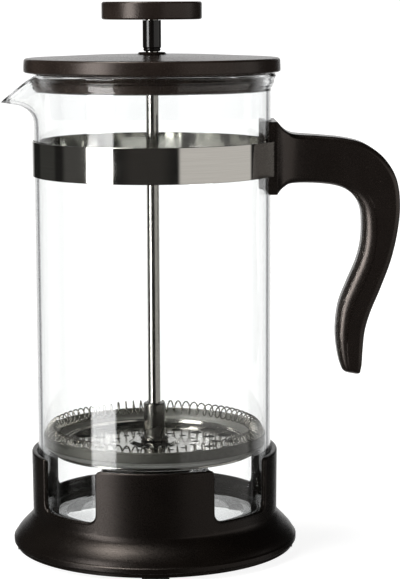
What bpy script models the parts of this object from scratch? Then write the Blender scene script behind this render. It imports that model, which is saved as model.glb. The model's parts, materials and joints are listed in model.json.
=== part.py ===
"""A one-litre french press: glass beaker, plastic base and handle, steel strap, lid and plunger.

Everything is turned or laid out round the beaker's axis, which stands at x = AXIS_X so that the
whole press is centred over the origin. The table is z = 0, the spout points along -X and the
handle along +X. Lengths are metres; MM turns millimetres into metres.
"""
import math

import bmesh
import bpy
from mathutils import Vector

MM = 0.001

# Driving dimensions
TOTAL_HEIGHT = 220.0 * MM       # table to the top of the knob
GLASS_RADIUS = 47.0 * MM        # outside of the beaker's wall
GLASS_WALL = 1.8 * MM
SPOUT_REACH = 60.0 * MM         # axis to the tip of the spout
HANDLE_REACH = 98.45 * MM       # axis to the back of the grip
BASE_RADIUS = 57.3 * MM         # widest line of the base's skirt
TAB_TOP = 41.0 * MM             # top of the base's four uprights
SILL = 20.4 * MM                # bottom edge of the windows between the uprights
BEAKER_FLOOR = 12.3 * MM        # underside of the glass
RIM_TOP = 191.8 * MM
STRAP_BOTTOM = 151.7 * MM
STRAP_TOP = 165.6 * MM
STRAP_THICK = 0.5 * MM
LID_RADIUS = 50.8 * MM
LID_UNDER = 192.4 * MM          # lower edge of the lid's cover
KNOB_RADIUS = 19.8 * MM
KNOB_UNDER = 213.0 * MM
ROD_RADIUS = 2.5 * MM
FILTER_FLOOR = 41.6 * MM        # underside of the mesh, plunger pressed down
MESH_RADIUS = 44.9 * MM
FOOT_HEIGHT = 1.7 * MM
GAP = 0.3 * MM                  # clearance left between touching pieces

AXIS_X = (SPOUT_REACH - HANDLE_REACH) / 2
GLASS_INNER = GLASS_RADIUS - GLASS_WALL
ROD_HOLE = ROD_RADIUS + GAP
ROUND = 48                      # sides of the large round pieces
SMALL_ROUND = 24                # sides of the knob's stem, hub and bushes


def clear_scene():
    """Removes every object of the start-up scene."""
    for obj in list(bpy.data.objects):
        bpy.data.objects.remove(obj, do_unlink=True)


def finish_material(name, colour, roughness, metallic=0.0, transmission=0.0):
    """A Principled BSDF in one colour."""
    mat = bpy.data.materials.new(name)
    mat.use_nodes = True
    shader = mat.node_tree.nodes["Principled BSDF"]
    shader.inputs["Base Color"].default_value = (*colour, 1.0)
    shader.inputs["Roughness"].default_value = roughness
    shader.inputs["Metallic"].default_value = metallic
    shader.inputs["Transmission Weight"].default_value = transmission
    return mat


def black_plastic(name):
    return finish_material(name + "_plastic", (0.022, 0.018, 0.016), 0.5)


def steel(name):
    return finish_material(name + "_steel", (0.6, 0.6, 0.58), 0.25, metallic=1.0)


def new_object(name, bm, mat, parent, smooth_angle=35.0):
    """Makes the mesh face outward, shades it and hangs the object on its parent empty."""
    bmesh.ops.remove_doubles(bm, verts=bm.verts, dist=1e-7)
    bmesh.ops.dissolve_degenerate(bm, edges=bm.edges, dist=1e-7)
    bmesh.ops.recalc_face_normals(bm, faces=bm.faces)
    mesh = bpy.data.meshes.new(name)
    bm.to_mesh(mesh)
    bm.free()
    mesh.shade_smooth()
    mesh.set_sharp_from_angle(angle=math.radians(smooth_angle))
    obj = bpy.data.objects.new(name, mesh)
    bpy.context.collection.objects.link(obj)
    if mat is not None:
        mesh.materials.append(mat)
    obj.parent = parent
    return obj


def axis_empty(name, parent=None):
    """An empty on the beaker's axis; the pieces of one moving group hang on it."""
    empty = bpy.data.objects.new(name, None)
    bpy.context.collection.objects.link(empty)
    if parent is None:
        empty.location = (AXIS_X, 0.0, 0.0)
    else:
        empty.parent = parent
    return empty


def arc(centre_r, centre_z, radius, start, stop, steps):
    """Points of a circular arc in the (radius, height) plane, both ends included, in degrees."""
    angles = [math.radians(start + (stop - start) * i / steps) for i in range(steps + 1)]
    return [(centre_r + radius * math.cos(a), centre_z + radius * math.sin(a)) for a in angles]


def turned(outline, sides, closed=True):
    """Spins an outline of (radius, height) points round the Z axis.

    A closed outline makes a ring; an open one starts and ends on the axis.
    """
    bm = bmesh.new()
    verts = [bm.verts.new((r, 0.0, z)) for r, z in outline]
    edges = [bm.edges.new(pair) for pair in zip(verts, verts[1:])]
    if closed:
        edges.append(bm.edges.new((verts[-1], verts[0])))
    bmesh.ops.spin(bm, geom=verts + edges, cent=(0, 0, 0), axis=(0, 0, 1),
                   angle=2 * math.pi, steps=sides, use_duplicate=False)
    return bm


def loft(sections):
    """Joins equal loops of points into a tube and closes both of its ends."""
    bm = bmesh.new()
    loops = [[bm.verts.new(p) for p in section] for section in sections]
    count = len(loops[0])
    for here, there in zip(loops, loops[1:]):
        for i in range(count):
            j = (i + 1) % count
            bm.faces.new((here[i], here[j], there[j], there[i]))
    bm.faces.new(list(reversed(loops[0])))
    bm.faces.new(loops[-1])
    return bm


def together(shapes):
    """Puts several closed shapes into one mesh, for a cutter that makes many openings."""
    bm = bmesh.new()
    for shape in shapes:
        mesh = bpy.data.meshes.new("cutter_part")
        shape.to_mesh(mesh)
        shape.free()
        bm.from_mesh(mesh)
        bpy.data.meshes.remove(mesh)
    return bm


def plan_prism(plan, bottom, top):
    """Raises a plan outline of (x, y) points from one height to another."""
    return loft([[(x, y, z) for x, y in plan] for z in (bottom, top)])


def cut(obj, name, bm):
    """Takes a cutter's shape out of an object and keeps the cutter as a wire guide."""
    cutter = new_object(name, bm, None, obj.parent)
    cutter.hide_render = True
    cutter.display_type = "WIRE"
    boolean = obj.modifiers.new(name, "BOOLEAN")
    boolean.operation = "DIFFERENCE"
    boolean.solver = "EXACT"
    boolean.object = cutter
    return cutter


def cross_bore(radius, x, z, y_from, y_to, sides=16):
    """A round bar along Y, for a screw's hole or its shank."""
    sections = []
    for y in (y_from, y_to):
        turns = [2 * math.pi * i / sides for i in range(sides)]
        sections.append([(x + radius * math.cos(a), y, z + radius * math.sin(a)) for a in turns])
    return loft(sections)


# --- beaker ------------------------------------------------------------------------------------

SPOUT_START = 172.0 * MM        # height where the wall begins to lean out into the spout
SPOUT_HALF_ANGLE = 25.0         # degrees either side of -X
SPOUT_DROP = 10.6 * MM          # how far the tip lies below the rim


def beaker_outline():
    """Down the outside from the rim, under the thick floor and up the inside."""
    ro, ri, top = GLASS_RADIUS, GLASS_INNER, RIM_TOP
    rim = [(ro + 1.9 * MM, top - 0.1 * MM), (ro + 2.2 * MM, top - 0.7 * MM),
           (ro + 1.3 * MM, top - 2.3 * MM), (ro + 1.3 * MM, top - 3.8 * MM),
           (ro, top - 5.8 * MM), (ro, top - 10 * MM), (ro, top - 15 * MM)]
    outside = rim + [(ro, SPOUT_START), (ro, 100 * MM)]
    outside += arc(ro - 6 * MM, BEAKER_FLOOR + 6 * MM, 6 * MM, 0, -90, 4)
    outside += [(30 * MM, BEAKER_FLOOR + 0.6 * MM), (0.0, BEAKER_FLOOR + 1.4 * MM)]
    inside = [(0.0, BEAKER_FLOOR + 4.4 * MM), (34 * MM, BEAKER_FLOOR + 3.8 * MM)]
    inside += arc(ri - 5 * MM, BEAKER_FLOOR + 8.6 * MM, 5 * MM, -70, 0, 3)
    inside += [(ri, 100 * MM), (ri, SPOUT_START), (ri, top - 15 * MM), (ri, top - 10 * MM),
               (ri, top - 5.0 * MM), (ri + 0.5 * MM, top - 2.0 * MM), (ri + 1.4 * MM, top)]
    return outside, inside


def pull_spout(bm):
    """Leans the upper wall out and down round -X, most at the rim, into a pouring beak.

    The push fades with height as 1.5 u^2 - 0.5 u^3 and sideways as a power of a cosine.
    """
    lip_out, lip_down = 2.2 * MM, 0.7 * MM
    reach = SPOUT_REACH - GLASS_RADIUS - lip_out
    for vert in bm.verts:
        radius = math.hypot(vert.co.x, vert.co.y)
        side = math.degrees(abs(math.atan2(vert.co.y, -vert.co.x)))
        if vert.co.z <= SPOUT_START or side >= SPOUT_HALF_ANGLE:
            continue
        u = min(1.0, (vert.co.z - SPOUT_START) / (RIM_TOP - lip_down - SPOUT_START))
        push = 1.5 * u ** 2 - 0.5 * u ** 3
        bump = math.cos(math.pi / 2 * side / SPOUT_HALF_ANGLE) ** 2.4
        grow = (radius + reach * push * bump) / radius
        lift = 1.2 * MM * u * bump if radius < GLASS_RADIUS - 0.1 * MM else 0.0
        vert.co.x *= grow
        vert.co.y *= grow
        vert.co.z += lift - SPOUT_DROP * push * bump


def make_beaker(parent):
    outside, inside = beaker_outline()
    bm = turned(outside + inside, ROUND, closed=True)
    bmesh.ops.remove_doubles(bm, verts=bm.verts, dist=1e-7)
    pull_spout(bm)
    glass = finish_material("borosilicate_glass", (0.95, 0.97, 0.96), 0.02, transmission=1.0)
    return new_object("glass_beaker", bm, glass, parent)


# --- base --------------------------------------------------------------------------------------

COLLAR_OUTER = 49.6 * MM
COLLAR_INNER = GLASS_RADIUS + 0.4 * MM
WINDOW_HALF_ANGLE = 17.0        # degrees; four windows at 45 degrees to the handle
LEDGE_TOP = BEAKER_FLOOR - GAP
LEDGE_RADIUS = 36.0 * MM        # the base is open inside this
SKIRT_BOTTOM = FOOT_HEIGHT + GAP


def base_outline():
    """Down the collar and the flared skirt, round the lip, and back over the ledge."""
    lip = BASE_RADIUS
    skirt = [(COLLAR_OUTER, TAB_TOP), (COLLAR_OUTER - 0.2 * MM, 17 * MM)]
    skirt += [(49.7 * MM, 15.0 * MM), (50.6 * MM, 13.2 * MM), (52.6 * MM, 11.6 * MM)]
    skirt += [(55.0 * MM, 9.6 * MM), (56.6 * MM, 7.4 * MM), (lip, 5.2 * MM), (lip, 4.2 * MM)]
    foot_ring = [(lip - 1.0 * MM, 3.7 * MM), (lip - 1.2 * MM, SKIRT_BOTTOM)]
    foot_ring += [(lip - 4.2 * MM, SKIRT_BOTTOM), (lip - 4.4 * MM, 5.0 * MM)]
    ledge = [(50.0 * MM, 9.0 * MM), (46.0 * MM, 10.0 * MM), (LEDGE_RADIUS, 10.0 * MM)]
    ledge += [(LEDGE_RADIUS, LEDGE_TOP), (COLLAR_INNER, LEDGE_TOP), (COLLAR_INNER, TAB_TOP)]
    return skirt + foot_ring + ledge


def window_plan():
    """Half-width and height of a window that is open at the top, with rounded corners."""
    half = COLLAR_OUTER * math.sin(math.radians(WINDOW_HALF_ANGLE))
    low, high = 3.5 * MM, 2.5 * MM
    right = [(half + high + 2 * MM, TAB_TOP + 5 * MM), (half + high + 2 * MM, TAB_TOP)]
    right += [(half + high - x, TAB_TOP - high + z) for x, z in arc(0, 0, high, 90, 0, 3)]
    right += arc(half - low, SILL + low, low, 0, -90, 3)
    left = [(-x, z) for x, z in reversed(right)]
    return right + left


def make_base(parent):
    base = new_object("base_frame", turned(base_outline(), ROUND), black_plastic("base"), parent)
    windows = []
    for i in range(4):
        turn = math.radians(45 + 90 * i)
        out = Vector((math.cos(turn), math.sin(turn), 0))
        along = Vector((-math.sin(turn), math.cos(turn), 0))
        sections = []
        for r in (40 * MM, 56 * MM):
            sections.append([out * r + along * s + Vector((0, 0, z)) for s, z in window_plan()])
        windows.append(loft(sections))
    cut(base, "windows", together(windows))
    return base


def make_feet(parent):
    """Four short arc-shaped pads under the skirt's ring."""
    rubber = finish_material("foot_rubber", (0.03, 0.03, 0.03), 0.8)
    inner, outer = BASE_RADIUS - 4.0 * MM, BASE_RADIUS - 1.4 * MM
    half_angle, steps = math.radians(5.5), 3
    for i, place in enumerate(("right", "back", "left", "front")):
        sections = []
        for k in range(steps + 1):
            a = math.pi / 2 * i - half_angle + 2 * half_angle * k / steps
            corners = ((inner, 0.0), (outer, 0.0), (outer, FOOT_HEIGHT), (inner, FOOT_HEIGHT))
            sections.append([(r * math.cos(a), r * math.sin(a), z) for r, z in corners])
        new_object("foot_pad_" + place, loft(sections), rubber, parent)


# --- strap, handle and clamp screw ---------------------------------------------------------------

STRAP_RADIUS = GLASS_RADIUS + GAP + STRAP_THICK / 2     # middle of the strap's thickness
STRAP_LEAVES = 33.0             # degrees from +X where the strap leaves the glass
EAR_Y = 3.2 * MM                # the strap's two ears lie at +-this inside the handle
EAR_END = 66.0 * MM
SCREW_X = 62.0 * MM
SCREW_Z = (STRAP_BOTTOM + STRAP_TOP) / 2
SCREW_SHANK = 1.9 * MM


def leg_points():
    """The strap's path on the +Y side: where it leaves the glass, its bend and its ear's end."""
    a = math.radians(STRAP_LEAVES)
    leave = Vector((STRAP_RADIUS * math.cos(a), STRAP_RADIUS * math.sin(a)))
    along = Vector((math.sin(a), -math.cos(a)))
    bend = leave + along * ((leave.y - EAR_Y) / -along.y)
    return [leave, bend, Vector((EAR_END, EAR_Y))]


def ribbon(path, thickness):
    """Plan outline of a strip of even thickness along a path of (x, y) points."""
    left, right = [], []
    for i, point in enumerate(path):
        ahead = path[min(i + 1, len(path) - 1)] - point
        behind = point - path[max(i - 1, 0)]
        tangent = (ahead.normalized() + behind.normalized()).normalized()
        normal = Vector((-tangent.y, tangent.x))
        spread = thickness / 2
        if 0 < i < len(path) - 1:
            spread /= max(0.5, normal.dot(Vector((-behind.y, behind.x)).normalized()))
        left.append(point + normal * spread)
        right.append(point - normal * spread)
    return [tuple(p) for p in left + right[::-1]]


def strap_path():
    """From one ear, along the leg, round the back of the glass and out to the other ear."""
    leave, bend, end = leg_points()
    steps = ROUND
    sweep = 360 - 2 * STRAP_LEAVES
    path = [end, bend]
    for i in range(steps + 1):
        a = math.radians(STRAP_LEAVES + sweep * i / steps)
        path.append(Vector((STRAP_RADIUS * math.cos(a), STRAP_RADIUS * math.sin(a))))
    path += [Vector((bend.x, -bend.y)), Vector((end.x, -end.y))]
    return path


def make_strap(parent):
    bm = plan_prism(ribbon(strap_path(), STRAP_THICK), STRAP_BOTTOM, STRAP_TOP)
    strap = new_object("clamp_strap", bm, steel("strap"), parent)
    bore = cross_bore(SCREW_SHANK + 0.4 * MM, SCREW_X, SCREW_Z, -6 * MM, 6 * MM)
    cut(strap, "ear_holes", bore)
    return strap


def handle_stations():
    """Pairs of points on the handle's outer and inner outline, with half the handle's width.

    Millimetres from the beaker's axis (x) and the table (z), from the seat on the glass, over
    the neck and down the S-shaped grip to its tip.
    """
    return [
        ((43.0, 173.7), (43.0, 144.3), 14.6), ((49.0, 173.0), (48.8, 144.6), 14.6),
        ((52.6, 169.4), (51.8, 147.2), 10.6), ((56.2, 167.9), (54.8, 148.4), 8.8),
        ((65.5, 167.2), (62.5, 148.5), 7.8), ((76.0, 166.1), (70.8, 147.7), 7.5),
        ((84.0, 163.9), (76.3, 146.0), 7.5), ((91.5, 158.5), (80.3, 142.7), 7.5),
        ((96.6, 150.5), (82.7, 138.3), 7.6), ((98.45, 140.5), (83.4, 132.5), 7.6),
        ((97.5, 129.5), (83.1, 124.5), 7.5), ((94.9, 117.5), (81.3, 117.0), 7.3),
        ((90.6, 105.6), (77.8, 108.7), 7.1), ((86.9, 96.6), (74.6, 100.5), 6.9),
        ((84.7, 89.0), (73.3, 93.0), 6.8), ((83.9, 81.5), (73.2, 85.0), 6.6),
        ((83.5, 74.8), (74.5, 76.8), 6.3), ((82.8, 71.3), (76.1, 72.4), 5.2),
    ]


def smooth_between(a, b, c, d, t):
    """Catmull-Rom curve between b and c."""
    return 0.5 * (2 * b + (c - a) * t + (2 * a - 5 * b + 4 * c - d) * t * t
                  + (3 * b - a - 3 * c + d) * t ** 3)


def handle_section(row, corner=3.2, points=16):
    """A rounded oblong across the handle: long way from outline to outline, wide way along Y."""
    outer = Vector((row[0], 0.0, row[1])) * MM
    inner = Vector((row[2], 0.0, row[3])) * MM
    middle, half = (outer + inner) / 2, (outer - inner) / 2
    section = []
    for i in range(points):
        a = 2 * math.pi * (i + 0.5) / points
        c, s = math.cos(a), math.sin(a)
        across = math.copysign(abs(c) ** (2 / corner), c)
        wide = math.copysign(abs(s) ** (2 / corner), s) * row[4] * MM
        section.append(middle + half * across + Vector((0.0, wide, 0.0)))
    return section


def make_handle(parent):
    rows = [(*outer, *inner, width) for outer, inner, width in handle_stations()]
    sections = []
    for i in range(len(rows) - 1):
        around = [rows[max(i - 1, 0)], rows[i], rows[i + 1], rows[min(i + 2, len(rows) - 1)]]
        for t in (0.0, 0.5):
            row = [smooth_between(*values, t) for values in zip(*around)]
            sections.append(handle_section(row))
    sections.append(handle_section(rows[-1]))
    handle = new_object("handle", loft(sections), black_plastic("handle"), parent, 50.0)
    seat = [(GLASS_RADIUS + GAP, 130 * MM), (GLASS_RADIUS + GAP, 190 * MM), (0.0, 190 * MM)]
    cut(handle, "glass_seat", turned([(0.0, 130 * MM)] + seat, 96, closed=False))
    leave, bend, end = leg_points()
    for side, name in ((1, "strap_slot_far"), (-1, "strap_slot_near")):
        path = [Vector((p.x, p.y * side)) for p in (leave, bend, end + Vector((1 * MM, 0)))]
        slot = ribbon(path, STRAP_THICK + 2 * GAP + 0.2 * MM)
        cut(handle, name, plan_prism(slot, STRAP_BOTTOM - 0.4 * MM, STRAP_TOP + 0.4 * MM))
    hole = cross_bore(SCREW_SHANK + 0.4 * MM, SCREW_X, SCREW_Z, -5 * MM, 6 * MM)
    cut(handle, "screw_hole", hole)
    cut(handle, "head_recess", cross_bore(4.0 * MM, SCREW_X, SCREW_Z, 5.0 * MM, 10 * MM, 20))
    half = 3.8 * MM
    pocket = [(SCREW_X - half, -6.7 * MM), (SCREW_X + half, -6.7 * MM)]
    pocket += [(SCREW_X + half, -EAR_Y), (SCREW_X - half, -EAR_Y)]
    cut(handle, "nut_pocket", plan_prism(pocket, SCREW_Z - half, SCREW_Z + half))
    return handle


def make_clamp_fasteners(parent):
    """The screw's head sits in the handle's far side; its square nut is held in the near wall."""
    outline = [(0.0, 7.3 * MM), (2.9 * MM, 7.3 * MM), (3.5 * MM, 6.6 * MM), (3.5 * MM, 5.4 * MM)]
    outline += [(SCREW_SHANK, 5.4 * MM), (SCREW_SHANK, -6.0 * MM), (0.0, -6.0 * MM)]
    screw = new_object("clamp_screw", turned(outline, 16, closed=False), steel("screw"), parent)
    slot = [(-4 * MM, -0.5 * MM), (4 * MM, -0.5 * MM), (4 * MM, 0.5 * MM), (-4 * MM, 0.5 * MM)]
    slot_cutter = cut(screw, "driver_slot", plan_prism(slot, 6.5 * MM, 9 * MM))
    for piece in (screw, slot_cutter):
        piece.rotation_euler = (-math.pi / 2, 0.0, 0.0)
        piece.location = (SCREW_X, 0.0, SCREW_Z)
    half = 3.5 * MM
    square = [(-half, -half), (half, -half), (half, half), (-half, half)]
    nut = new_object("clamp_nut", plan_prism(square, -6.4 * MM, -4.2 * MM), steel("nut"), parent)
    bore = [(0.0, -8 * MM), (SCREW_SHANK + 0.3 * MM, -8 * MM), (SCREW_SHANK + 0.3 * MM, 0.0)]
    nut_cutter = cut(nut, "thread_hole", turned(bore + [(0.0, 0.0)], 16, closed=False))
    for piece in (nut, nut_cutter):
        piece.rotation_euler = (-math.pi / 2, 0.0, 0.0)
        piece.location = (SCREW_X, 0.0, SCREW_Z)


# --- lid -----------------------------------------------------------------------------------------

GUIDE_RADIUS = 4.0 * MM
COVER_TOP = 199.4 * MM
GUIDE_TOP = 200.2 * MM
FLANGE_TOP = 194.6 * MM


def make_lid(parent):
    """A domed cover and the plug ring under it, which steps down into the beaker."""
    bore = GUIDE_RADIUS + GAP
    cover = [(bore, GUIDE_TOP), (4.9 * MM, GUIDE_TOP), (5.6 * MM, COVER_TOP)]
    cover += [(26 * MM, 199.0 * MM), (48.2 * MM, 198.0 * MM)]
    cover += arc(LID_RADIUS - 1.2 * MM, 196.7 * MM, 1.2 * MM, 80, 0, 4)
    cover += [(LID_RADIUS, LID_UNDER), (LID_RADIUS - 1.7 * MM, LID_UNDER)]
    cover += [(LID_RADIUS - 1.7 * MM, 195.2 * MM), (46 * MM, 196.4 * MM), (20 * MM, 196.9 * MM)]
    cover += [(bore, 197.0 * MM)]
    new_object("lid_cover", turned(cover, ROUND), black_plastic("lid"), parent)

    plug_top = GLASS_INNER - 0.35 * MM
    plug = [(48.6 * MM, FLANGE_TOP), (48.6 * MM, RIM_TOP + GAP), (plug_top, RIM_TOP + GAP)]
    plug += [(plug_top, 189 * MM), (plug_top - 0.5 * MM, 185.6 * MM)]
    plug += [(plug_top - 2.4 * MM, 185.6 * MM), (plug_top - 2.2 * MM, RIM_TOP)]
    plug += [(plug_top - 4 * MM, FLANGE_TOP)]
    new_object("lid_plug", turned(plug, ROUND), black_plastic("plug"), parent)


def make_rod_guide(parent):
    """A flanged bush in the middle of the lid, in which the rod turns and slides."""
    outline = [(ROD_HOLE, GUIDE_TOP), (GUIDE_RADIUS, GUIDE_TOP), (GUIDE_RADIUS, 196.7 * MM)]
    outline += [(6.5 * MM, 196.7 * MM), (6.5 * MM, 195.6 * MM), (ROD_HOLE, 195.6 * MM)]
    grey = finish_material("guide_plastic", (0.03, 0.028, 0.027), 0.35)
    new_object("rod_guide", turned(outline, SMALL_ROUND), grey, parent)


# --- plunger -------------------------------------------------------------------------------------

STEM_RADIUS = 3.65 * MM
HUB_RADIUS = 4.4 * MM
PLATE_BOTTOM = FILTER_FLOOR + 0.4 * MM + GAP
PLATE_THICK = 0.8 * MM
PLATE_RADIUS = 37.0 * MM
# Rings of holes in the plate: how many, the ring's radius and the hole's radius
PLATE_HOLES = ((16, 31.4 * MM, 3.1 * MM), (16, 24.3 * MM, 2.3 * MM), (16, 16.5 * MM, 1.3 * MM))
HOLE_SIDES = 6
COIL_TURNS = 48
COIL_RING = 40.8 * MM
COIL_RADIUS = 3.1 * MM
COIL_MIDDLE = FILTER_FLOOR + 6.4 * MM
WIRE_RADIUS = 0.35 * MM


def make_knob(parent):
    r, under, top = KNOB_RADIUS, KNOB_UNDER, TOTAL_HEIGHT
    cap = [(0.0, top)] + arc(r - 1 * MM, top - 1 * MM, 1 * MM, 90, 0, 3)
    cap += arc(r - 0.8 * MM, under + 0.8 * MM, 0.8 * MM, 0, -90, 2)
    cap += [(ROD_HOLE, under), (ROD_HOLE, top - 3 * MM), (0.0, top - 3 * MM)]
    new_object("knob_cap", turned(cap, 48, closed=False), black_plastic("knob"), parent)
    low, high = GUIDE_TOP + GAP, under - GAP
    stem = [(ROD_HOLE, high), (STEM_RADIUS, high), (STEM_RADIUS, low + 1.2 * MM)]
    stem += [(STEM_RADIUS - 0.25 * MM, low + 0.4 * MM), (STEM_RADIUS - 0.6 * MM, low)]
    stem += [(ROD_HOLE, low)]
    gloss = finish_material("stem_plastic", (0.01, 0.01, 0.01), 0.12)
    new_object("knob_stem", turned(stem, SMALL_ROUND), gloss, parent)


def make_rod(parent):
    low, high = FILTER_FLOOR - 5.6 * MM, TOTAL_HEIGHT - 3.6 * MM
    outline = [(0.0, high), (ROD_RADIUS, high), (ROD_RADIUS, low + 0.5 * MM)]
    outline += [(ROD_RADIUS - 0.5 * MM, low), (0.0, low)]
    bm = turned(outline, 16, closed=False)
    new_object("plunger_rod", bm, steel("rod"), parent)


def make_hub(parent):
    """The sleeve on the rod that presses the filter's plates together from above."""
    low = PLATE_BOTTOM + PLATE_THICK + GAP + 1.0 * MM
    high = 59.4 * MM
    outline = [(ROD_HOLE, high), (HUB_RADIUS - 0.4 * MM, high), (HUB_RADIUS, high - 0.4 * MM)]
    outline += [(HUB_RADIUS, low + 1.4 * MM), (HUB_RADIUS + 1.2 * MM, low + 1.2 * MM)]
    outline += [(HUB_RADIUS + 1.2 * MM, low), (ROD_HOLE, low)]
    new_object("rod_hub", turned(outline, SMALL_ROUND), steel("hub"), parent)


def make_perforated_plate(parent):
    """A pressed steel dish, raised at the centre and turned up at the edge, with three rings
    of holes that grow outwards."""
    z0, t = PLATE_BOTTOM, PLATE_THICK
    top = [(ROD_HOLE, z0 + t + 1.0 * MM), (8 * MM, z0 + t + 1.0 * MM), (10.5 * MM, z0 + t)]
    top += [(PLATE_RADIUS - 2.4 * MM, z0 + t), (PLATE_RADIUS - 1.0 * MM, z0 + t + 0.8 * MM)]
    edge = [(PLATE_RADIUS - 0.8 * MM, z0 + 2.8 * MM), (PLATE_RADIUS, z0 + 2.8 * MM)]
    edge += [(PLATE_RADIUS, z0 + 0.8 * MM), (PLATE_RADIUS - 0.9 * MM, z0)]
    under = [(11.0 * MM, z0), (8.5 * MM, z0 + 1.0 * MM), (ROD_HOLE, z0 + 1.0 * MM)]
    bm = turned(top + edge + under, 36)
    plate = new_object("perforated_plate", bm, steel("plate"), parent)
    bars = []
    for count, ring_radius, hole in PLATE_HOLES:
        for i in range(count):
            a = 2 * math.pi * i / count
            x, y = ring_radius * math.cos(a), ring_radius * math.sin(a)
            rim = [2 * math.pi * k / HOLE_SIDES for k in range(HOLE_SIDES)]
            round_plan = [(x + hole * math.cos(t), y + hole * math.sin(t)) for t in rim]
            bars.append(plan_prism(round_plan, z0 - 1 * MM, z0 + 2 * MM))
    cut(plate, "plate_holes", together(bars))


def make_coil(parent):
    """A closed ring of spring wire: a helix wound round a circle, held by the mesh's edge."""
    bm = bmesh.new()
    per_turn, sides = 6, 3
    total = COIL_TURNS * per_turn
    loops = []
    for i in range(total):
        around = 2 * math.pi * i / total
        wind = 2 * math.pi * i / per_turn
        out = Vector((math.cos(around), math.sin(around), 0.0))
        spoke = out * math.cos(wind) + Vector((0, 0, 1)) * math.sin(wind)
        middle = out * COIL_RING + Vector((0, 0, COIL_MIDDLE)) + spoke * COIL_RADIUS
        ring_way = Vector((-out.y, out.x, 0.0))
        loop = []
        for k in range(sides):
            a = 2 * math.pi * k / sides
            loop.append(bm.verts.new(middle + (spoke * math.cos(a) + ring_way * math.sin(a))
                                     * WIRE_RADIUS))
        loops.append(loop)
    for i in range(total):
        here, there = loops[i], loops[(i + 1) % total]
        for k in range(sides):
            n = (k + 1) % sides
            bm.faces.new((here[k], here[n], there[n], there[k]))
    new_object("coil_spring", bm, steel("spring"), parent)


def make_mesh_screen(parent):
    """The woven filter disc, whose edge turns up along the glass."""
    z0, t, r = FILTER_FLOOR, 0.4 * MM, MESH_RADIUS
    outline = [(ROD_HOLE, z0 + t), (r - 2.4 * MM, z0 + t), (r - t - 0.3 * MM, z0 + 2.2 * MM)]
    outline += [(r - t, z0 + 6.8 * MM), (r, z0 + 6.8 * MM), (r, z0 + 1.9 * MM)]
    outline += [(r - 2.0 * MM, z0), (ROD_HOLE, z0)]
    new_object("mesh_screen", turned(outline, ROUND), steel("mesh"), parent)


def make_cross_plate(parent):
    """A four-armed steel cross in a ring, which backs the mesh from below."""
    top, thick = FILTER_FLOOR - GAP, 1.0 * MM
    outline = [(ROD_HOLE, top), (41 * MM, top), (41 * MM, top - thick), (ROD_HOLE, top - thick)]
    plate = new_object("cross_plate", turned(outline, ROUND), steel("cross"), parent)
    arms, inner, outer, arm_half = 4, 11 * MM, 37 * MM, 3.2 * MM
    gaps = []
    for i in range(arms):
        plan = []
        for r, side in ((inner, -1), (outer, -1), (outer, -0.5), (outer, 0), (outer, 0.5),
                        (outer, 1), (inner, 1), (inner, 0)):
            half = math.pi / arms - math.asin(arm_half / r)
            a = 2 * math.pi * (i + 0.5) / arms + side * half
            plan.append((r * math.cos(a), r * math.sin(a)))
        gaps.append(plan_prism(plan, top - 3 * MM, top + 2 * MM))
    cut(plate, "cross_gaps", together(gaps))


def make_filter_nut(parent):
    """The thumb nut on the rod's threaded end."""
    high = FILTER_FLOOR - GAP - 1.0 * MM - GAP
    low = high - 3.0 * MM
    outline = [(ROD_HOLE, high), (7 * MM, high), (7 * MM, high - 1.2 * MM)]
    outline += [(5 * MM, high - 1.6 * MM), (5 * MM, low), (ROD_HOLE, low)]
    new_object("filter_nut", turned(outline, SMALL_ROUND), steel("filter_nut"), parent)


def main():
    clear_scene()
    beaker_axis = axis_empty("beaker_axis")
    make_beaker(beaker_axis)
    make_base(beaker_axis)
    make_feet(beaker_axis)
    make_strap(beaker_axis)
    make_handle(beaker_axis)
    make_clamp_fasteners(beaker_axis)
    lid_axis = axis_empty("lid_axis", beaker_axis)
    make_lid(lid_axis)
    guide_axis = axis_empty("guide_axis", lid_axis)
    make_rod_guide(guide_axis)
    plunger_axis = axis_empty("plunger_axis", guide_axis)
    make_knob(plunger_axis)
    make_rod(plunger_axis)
    make_hub(plunger_axis)
    make_perforated_plate(plunger_axis)
    make_coil(plunger_axis)
    make_mesh_screen(plunger_axis)
    make_cross_plate(plunger_axis)
    make_filter_nut(plunger_axis)


main()
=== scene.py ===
"""The looks of a one-litre french press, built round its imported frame.

Every round piece is a profile of (radius, height) points spun about the beaker's axis, and every
other piece is a grid of points worked out from two parameters. Shapes are worked out in
millimetres from the beaker's axis and the table, and turned into metres when the mesh is made.
"""

import json
import math

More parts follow.
